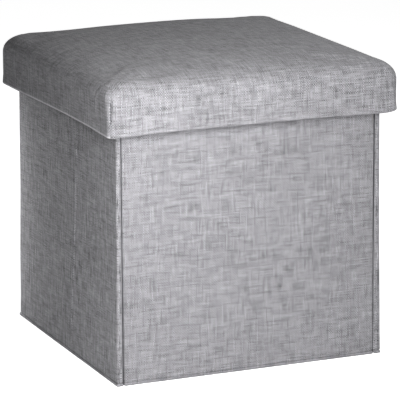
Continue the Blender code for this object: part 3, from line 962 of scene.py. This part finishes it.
def puff(lid_object):
    """Cloth simulation of the padded top: air pressure under the cloth, its skirt held by the boards."""
    skirt_rings = 9
    keep = LID_TOP_COUNT + 4 * N * (skirt_rings)
    sim_verts = [list(v) for v in verts[:keep]]
    sim_faces = [f for f in faces if max(f) < keep]
    last = [ring_index[skirt_rings][side, i] for side in range(4) for i in range(N)]
    middle = len(sim_verts)
    sim_verts.append([0.0, 0.0, sim_verts[last[0]][2]])
    for n, v in enumerate(last):
        sim_faces.append((v, middle, last[(n + 1) % len(last)]))
    for v in sim_verts[:LID_TOP_COUNT]:
        v[2] -= 0.6 * MM
    sim = add_object("lid_sim", sim_verts, sim_faces)
    pin = sim.vertex_groups.new(name="pin")
    for n, v in enumerate(sim_verts):
        depth = LID_SHOULDER - v[2]
        weight = 0.0 if n < LID_TOP_COUNT else min(1.0, max(0.0, (depth - 4 * MM) / (14 * MM)))
        if n == middle:
            weight = 1.0
        if weight > 0:
            pin.add([n], weight, "REPLACE")
    cloth = sim.modifiers.new("cloth", "CLOTH")
    s = cloth.settings
    s.quality = 6
    s.mass = 0.25
    s.tension_stiffness = s.compression_stiffness = 12.0
    s.shear_stiffness = 4.0
    s.bending_stiffness = 0.4
    s.use_pressure = True
    s.uniform_pressure_force = 4.0
    s.vertex_group_mass = "pin"
    s.pin_stiffness = 1.0
    s.effector_weights.gravity = 0.0
    cloth.collision_settings.use_collision = False
    cloth.collision_settings.use_self_collision = False
    cloth.point_cache.frame_start, cloth.point_cache.frame_end = 1, 20
    scene = bpy.context.scene
    for f in range(1, 21):
        scene.frame_set(f)
    bpy.context.view_layer.update()
    moved = sim.evaluated_get(bpy.context.evaluated_depsgraph_get()).data
    co = np.array([v.co for v in moved.vertices])[:keep]
    rest = np.array(verts[:keep])
    step = co - rest
    length = np.linalg.norm(step, axis=1, keepdims=True)
    cap = 3.6 * MM
    soft = cap * np.tanh(length / cap)
    step = step * (soft / np.maximum(length, 1e-9))
    # the sewn corners hold the cloth, so they swell little and don't pucker
    away = np.hypot(np.abs(rest[:, 0]) - 0.176, np.abs(rest[:, 1]) - 0.176)
    step *= (1 - 0.9 * np.exp(-(away / 0.042) ** 2))[:, None]
    print("lid sim: largest move", float(length.max()), "kept", float(np.linalg.norm(step, axis=1).max()))
    scene.frame_set(1)
    sim.modifiers.clear()
    bpy.data.objects.remove(sim, do_unlink=True)
    all_points = points_of(lid_object)
    all_points[:keep] += step
    set_points(lid_object, all_points)


puff(lid)

# uneven stuffing of the top and slow swelling of the skirt, before subdivision
def droop(x, y, z):
    """How far the soft corners and the rear left hem hang below the boards' own line."""
    low = 1 - smooth(z, SKIRT_BOTTOM + 16 * MM, LID_SHOULDER - 12 * MM)
    fall = 3.9 * MM * low * smooth(y, -70 * MM, 188 * MM) * (1 - smooth(x, -180 * MM, 110 * MM))
    fall += 1.9 * MM * low * bell(math.hypot(x + 190 * MM, y + 190 * MM), 48 * MM)
    fall += 3.0 * MM * (1 - low) * bell(math.hypot(x + 190 * MM, y - 190 * MM), 36 * MM)
    fall += 3.0 * MM * (0.35 + 0.65 * (1 - low)) * bell(math.hypot(x - 190 * MM, y - 190 * MM), 62 * MM)
    fall += 2.2 * MM * bell(math.hypot(x - 190 * MM, y + 190 * MM), 60 * MM)
    fall -= 2.1 * MM * low * bell(math.hypot(x - 190 * MM, y + 190 * MM), 11 * MM)
    return fall - 1.6 * MM * (1 - low)


co = points_of(lid)
for n in range(len(co)):
    co[n, 2] -= droop(*co[n])
for n in range(len(co)):
    x, y, z = co[n]
    if n < LID_TOP_COUNT:
        edge = min(TOP_HALF - abs(x), TOP_HALF - abs(y))
        co[n, 2] += 0.55 * MM * waves(x, y, 31.0, 11.0) * smooth(edge, 0.0, 50 * MM)
    elif z > SKIRT_BOTTOM + 1 * MM and max(abs(x), abs(y)) > 186 * MM:
        front_or_back = abs(y) > abs(x)
        s = x if front_or_back else y
        swell = 0.45 * MM * waves(s, z, 37.0 + (2 if front_or_back else 0) + (1 if (y if front_or_back else x) > 0 else 0), 13.0)
        swell *= smooth(LID_SHOULDER - z, 0.0, 10 * MM)
        if front_or_back:
            co[n, 1] += math.copysign(swell, y)
        else:
            co[n, 0] += math.copysign(swell, x)
set_points(lid, co)
sub = lid.modifiers.new("sub", "SUBSURF")
sub.levels = sub.render_levels = 1
apply_modifiers(lid)

# sewn corner seams and the small tucks beside them, pressed into the fine mesh
TUCKS = {}
TUCK_LINE = ((164.0, 6.0), (158.0, 13.0), (151.0, 21.0), (145.5, 30.0), (142.5, 41.0), (141.5, 56.0))


def tuck_offset(s, dist, strength):
    """Signed swelling beside a curved tuck; s is the distance along the side, towards the corner."""
    best, sign = 1e9, 1.0
    for (s1, d1), (s2, d2) in zip(TUCK_LINE, TUCK_LINE[1:]):
        ax, ay, bx, by = s1 * MM, d1 * MM, s2 * MM, d2 * MM
        px, py = s - ax, dist - ay
        ex, ey = bx - ax, by - ay
        t = min(1.0, max(0.0, (px * ex + py * ey) / (ex * ex + ey * ey)))
        dx, dy = px - t * ex, py - t * ey
        d = math.hypot(dx, dy)
        if d < best:
            best, sign = d, (1.0 if ex * dy - ey * dx < 0 else -1.0)
    along_fade = smooth(dist, 3 * MM, 9 * MM) * (1 - smooth(dist, 40 * MM, 58 * MM))
    d = best * sign
    return strength * along_fade * (-0.55 * MM * bell(d, 1.5 * MM) + 0.38 * MM * bell(d - 3.4 * MM, 2.6 * MM))


co = points_of(lid)
normals = np.zeros(len(co) * 3)
lid.data.vertices.foreach_get("normal", normals)
normals = normals.reshape(-1, 3)
centre_z = LID_SHOULDER - LID_ROLL
for n in range(len(co)):
    x, y, z = co[n]
    ax, ay = abs(x), abs(y)
    if z < SKIRT_BOTTOM - 0.001 or max(ax, ay) < TOP_HALF - 2 * MM:
        continue
    if z < SKIRT_BOTTOM + 24 * MM and max(ax, ay) < 186 * MM:
        continue
    across = (ax - ay) / math.sqrt(2)              # distance from the corner's diagonal plane
    corner = math.hypot(ax, ay)
    out = 0.0
    if min(ax, ay) > 172 * MM:
        fade = smooth(z, SKIRT_BOTTOM + 9 * MM, SKIRT_BOTTOM + 20 * MM) * (1 - smooth(z, LID_SHOULDER - 24 * MM, LID_SHOULDER - 13 * MM))
        out -= fade * 1.15 * MM * bell(across, 1.0 * MM)
        out += fade * 0.30 * MM * bell(abs(across) - 3.0 * MM, 2.2 * MM)
    if z > centre_z:
        dist = LID_ROLL * math.acos(min(1.0, max(0.0, (z - centre_z) / LID_ROLL)))
    else:
        dist = LID_ROLL * math.pi / 2 + centre_z - z
    if dist > 2 * MM:
        side_s = min(ax, ay)
        strength = 1.9 if (ax > ay and x < 0 and y < 0) else (0.6 if x * y > 0 else 0.35)
        if (ax > ay) == (x * y > 0):
            out += tuck_offset(side_s, dist, strength)
    co[n] += normals[n] * out
set_points(lid, co)

shell = lid.modifiers.new("shell", "SOLIDIFY")
shell.thickness = 0.9 * MM
shell.offset = -1.0
shell.use_rim = True
shell.use_even_offset = True
apply_modifiers(lid)
lid.data.shade_smooth()
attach(lid, "lid")
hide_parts("lid_cover")


def seam_cord(name, points, radius, material, body, sides=6):
    """A thin closed tube along points."""
    verts, faces = [], []
    for n, p in enumerate(points):
        p = Vector(p)
        nxt = Vector(points[min(n + 1, len(points) - 1)])
        prev = Vector(points[max(n - 1, 0)])
        direction = (nxt - prev).normalized()
        one = direction.cross(Vector((0.3, 0.9, 0.1)))
        one.normalize()
        two = direction.cross(one)
        for s in range(sides):
            angle = 2 * math.pi * s / sides
            verts.append(p + one * (radius * math.cos(angle)) + two * (radius * math.sin(angle)))
    for ring in range(len(points) - 1):
        for s in range(sides):
            a, b = ring * sides + s, ring * sides + (s + 1) % sides
            faces.append((a, b, b + sides, a + sides))
    faces.append(tuple(reversed(range(sides))))
    faces.append(tuple((len(points) - 1) * sides + s for s in range(sides)))
    obj = add_object(name, verts, faces, None, material)
    bm = bmesh.new()
    bm.from_mesh(obj.data)
    bmesh.ops.recalc_face_normals(bm, faces=bm.faces[:])
    bm.to_mesh(obj.data)
    bm.free()
    obj.data.shade_smooth()
    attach(obj, body)
    return obj


# dark thread lying in each corner seam of the lid
fine = points_of(lid)
for cx, cy, corner_name in ((-1, -1, "front_left"), (1, -1, "front_right"), (1, 1, "back_right"), (-1, 1, "back_left")):
    line = []
    for k in range(19):
        z = SKIRT_BOTTOM + 15 * MM + (LID_SHOULDER - 21 * MM - SKIRT_BOTTOM - 15 * MM) * k / 18
        near = fine[(np.sign(fine[:, 0]) == cx) & (np.sign(fine[:, 1]) == cy) & (np.abs(np.abs(fine[:, 0]) - np.abs(fine[:, 1])) < 0.3 * MM)
                    & (np.minimum(np.abs(fine[:, 0]), np.abs(fine[:, 1])) > 165 * MM)
                    & (np.abs(fine[:, 2] - z) < 4 * MM)]
        if len(near) == 0:
            continue
        reach = np.abs(near[:, 0])
        order = near[:, 2].argsort()
        zs_sorted = near[order]
        # outermost points only: the shell's inner face lies behind them
        outer = []
        for row in zs_sorted:
            same = zs_sorted[np.abs(zs_sorted[:, 2] - row[2]) < 1.4 * MM]
            if abs(row[0]) >= np.abs(same[:, 0]).max() - 0.25 * MM:
                outer.append(row)
        outer = np.array(outer)
        reach = np.interp(z, outer[:, 2], np.abs(outer[:, 0]))
        depth = 0.12 * MM * 1.0
        line.append((cx * (reach + depth), cy * (reach + depth), z))
    seam_cord("lid_" + corner_name + "_seam_thread", line, 0.42 * MM, SEAM_MAT, "lid")

# foam under the cloth: the pad pressed a little smaller, so that the cloth lies over it
pad_low, pad_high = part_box("lid_foam_pad")
pad = frame["nodes"]["lid_foam_pad"]
pad_mesh = pad.data.copy()
foam_block = bpy.data.objects.new("lid_foam_block", pad_mesh)
bpy.context.scene.collection.objects.link(foam_block)
bpy.context.view_layer.update()
inverse_pad = pad.matrix_world.copy()
co = points_of(foam_block)
for n in range(len(co)):
    p = inverse_pad @ Vector(co[n])
    rise = (p.z - pad_low.z) / (pad_high.z - pad_low.z)
    shrink = 1 - (3.0 + 5.0 * max(0.0, rise) ** 2) / 190.0
    x, y = p.x * shrink, p.y * shrink
    z = pad_low.z + (p.z - pad_low.z) * 0.74
    co[n] = (x, y, z - 0.9 * droop(x / shrink, y / shrink, LID_SHOULDER) * max(0.0, rise))
set_points(foam_block, co)
foam_block.data.materials.clear()
foam_block.data.materials.append(FOAM_MAT)
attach(foam_block, "lid")
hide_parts("lid_foam_pad")

# lid lining: a shallow tray of dark lining under the lid board
tray_low, tray_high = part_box("lid_lining")


def lid_lining_mesh():
    half = tray_high.x
    top = tray_high.z
    thick = 0.6 * MM
    bottom = tray_low.z + 1.0 * MM
    rings = []
    grid_half = half - 4 * MM
    levels = [(half - 4 * MM + 4 * MM * math.sin(math.pi / 2 * i / 5), top - 4 * MM + 4 * MM * math.cos(math.pi / 2 * i / 5))
              for i in range(1, 6)]
    levels += [(half, top - 4 * MM + (bottom - top + 4 * MM) * i / 6) for i in range(1, 7)]
    count = 44
    lverts, lindex, lfaces, luvs = [], {}, [], []
    for i in range(count + 1):
        for j in range(count + 1):
            x, y = -grid_half + 2 * grid_half * i / count, -grid_half + 2 * grid_half * j / count
            lindex[i, j] = len(lverts)
            edge = min(grid_half - abs(x), grid_half - abs(y))
            sag = -0.12 * MM * abs(waves(x, y, 41.0, 10.0)) * smooth(edge, 0, 30 * MM)
            lverts.append((x, y, top + sag))
    rows = [[lindex[(i, 0)] for i in range(count)] + [lindex[(count, i)] for i in range(count)]
            + [lindex[(count - i, count)] for i in range(count)] + [lindex[(0, count - i)] for i in range(count)]]
    for h, z in levels:
        row = []
        for side in range(4):
            for i in range(count):
                s = -1 + 2 * i / count
                x, y = turn(side, s * h, h)
                row.append(len(lverts))
                lverts.append((x, y, z))
        rows.append(row)
    for i in range(count):
        for j in range(count):
            corners = ((i, j), (i + 1, j), (i + 1, j + 1), (i, j + 1))
            lfaces.append([lindex[c] for c in corners])
            luvs += [lverts[lindex[c]][:2] for c in corners]
    total = len(rows[0])
    for r in range(len(rows) - 1):
        for i in range(total):
            j = (i + 1) % total
            quad = [rows[r + 1][i], rows[r + 1][j], rows[r][j], rows[r][i]]
            lfaces.append(quad)
            side = i // count
            for v in quad:
                x, y, z = lverts[v]
                s = (x, y, -x, -y)[side]
                luvs.append(turn(side, s, grid_half + (top - z)))
    piece = add_object("lid_lining_cloth", lverts, lfaces, luvs, LINING_MAT)
    solid = piece.modifiers.new("solid", "SOLIDIFY")
    solid.thickness = thick
    solid.offset = -1.0
    apply_modifiers(piece)
    piece.data.shade_smooth()
    piece.data.set_sharp_from_angle(angle=math.radians(50))
    return piece, (2 * (grid_half + (top - bottom) + 2 * MM))


lid_lining, cut = lid_lining_mesh()
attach(lid_lining, "lid")
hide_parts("lid_lining")
flange_in = 182.35 * MM - 1.0 * MM
sz = SKIRT_BOTTOM + 13.5 * MM
reach = flange_in - 6 * MM
stitches("lid_hem_stitches",
         [((-reach, -flange_in, sz), (reach, -flange_in, sz), (0, 1, 0)), ((-reach, flange_in, sz), (reach, flange_in, sz), (0, -1, 0)),
          ((-flange_in, -reach, sz), (-flange_in, reach, sz), (1, 0, 0)), ((flange_in, -reach, sz), (flange_in, reach, sz), (-1, 0, 0))],
         "lid", radius=0.24 * MM)

# ------------------------------------------------------------------ finishes of the carried-over CAD pieces
for node, obj in frame["nodes"].items():
    material = None
    if node in ("lid_board", "base_board"):
        material = BOARD_MAT
    elif node.endswith("_board") or node.endswith("_stiffener"):
        material = CARD_MAT
    elif node.endswith("_hinge_web"):
        material = SEAM_MAT
    if material is not None:
        if not obj.material_slots:
            obj.data.materials.append(material)
        for material_slot in obj.material_slots:
            material_slot.material = material

# ------------------------------------------------------------------ floor and light
floor = add_object("studio_floor", [(-14, -14, 0), (14, -14, 0), (14, 14, 0), (-14, 14, 0)], [(0, 1, 2, 3)], None, None, smooth=False)
g = Graph("floor_paper")
fleck = g.noise(g.coordinates.outputs["Object"], scale=60.0, detail=3.0)
g.colour(g.affine(fleck, 0.02, 0.99), (0.80, 0.80, 0.80))
g.finish(0.9, 0.1)
g.shader.inputs["Emission Color"].default_value = (1.0, 1.0, 1.0, 1.0)
sight = g.tree.nodes.new("ShaderNodeLightPath").outputs["Is Camera Ray"]
length = g.tree.nodes.new("ShaderNodeVectorMath")
length.operation = "LENGTH"
g.tree.links.new(g.coordinates.outputs["Object"], length.inputs[0])
pool = g.tree.nodes.new("ShaderNodeMapRange")                  # the lit pool of paper round the object
pool.interpolation_type = "SMOOTHSTEP"
for socket_name, value in (("From Min", 0.56), ("From Max", 1.05), ("To Min", 0.25), ("To Max", 0.03)):
    pool.inputs[socket_name].default_value = value
g.tree.links.new(length.outputs["Value"], pool.inputs["Value"])
unseen = g.affine(sight, -1.0, 1.0)
g.link(g.add(g.mul(sight, 0.96), g.mul(unseen, pool.outputs["Result"])), g.shader.inputs["Emission Strength"])
floor.data.materials.append(g.material)
floor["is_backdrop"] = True

world = bpy.data.worlds.new("studio_world")
bpy.context.scene.world = world
world.use_nodes = True
backdrop = world.node_tree.nodes["Background"]
backdrop.inputs[0].default_value = (1.0, 1.0, 1.0, 1.0)
world_sight = world.node_tree.nodes.new("ShaderNodeLightPath").outputs["Is Camera Ray"]
world_power = world.node_tree.nodes.new("ShaderNodeMath")
world_power.operation = "MULTIPLY_ADD"
world.node_tree.links.new(world_sight, world_power.inputs[0])
world_power.inputs[1].default_value = 0.98
world_power.inputs[2].default_value = 0.02
world.node_tree.links.new(world_power.outputs[0], backdrop.inputs[1])


def area_light(name, location, target, size, power, shape="RECTANGLE", size_y=None):
    data = bpy.data.lights.new(name, "AREA")
    data.shape = shape
    data.size = size
    if size_y is not None:
        data.size_y = size_y
    data.energy = power
    data.color = (1.0, 1.0, 1.0)
    obj = bpy.data.objects.new(name, data)
    bpy.context.scene.collection.objects.link(obj)
    obj.location = location
    obj.rotation_mode = "QUATERNION"
    obj.rotation_quaternion = (Vector(target) - Vector(location)).to_track_quat("-Z", "Y")
    return obj


area_light("key_low", (-0.35, -0.75, 0.45), (-0.10, -0.17, 0.25), 0.4, 2.2, size_y=0.4)
area_light("key_near", (-0.28, -0.62, 0.40), (-0.12, -0.17, 0.28), 0.3, 1.4, size_y=0.25)
area_light("key_high", (-0.22, -0.70, 0.55), (-0.10, -0.17, 0.30), 0.35, 3.9, size_y=0.3)
area_light("key_top", (0.45, -0.35, 0.90), (0.05, -0.10, 0.37), 0.4, 2.0, size_y=0.4)
area_light("fill_right", (1.5, 0.35, 0.75), (0.175, 0.05, 0.20), 1.0, 8.5, size_y=0.9)
area_light("fill_back", (0.35, 1.5, 0.75), (0.05, 0.17, 0.20), 1.0, 3.6, size_y=0.9)
edge = area_light("edge_strip", (-0.212, 0.222, 0.15), (-0.175, 0.165, 0.15), 0.05, 0.15, size_y=0.28)
edge.visible_camera = False
left_cloth = bpy.data.collections.new("edge_strip_receivers")
for piece in bpy.data.objects:
    if piece.name in ("left_side_upholstery", "left_rear_hem", "left_rear_corner_hem"):
        left_cloth.objects.link(piece)
edge.light_linking.receiver_collection = left_cloth

low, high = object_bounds()
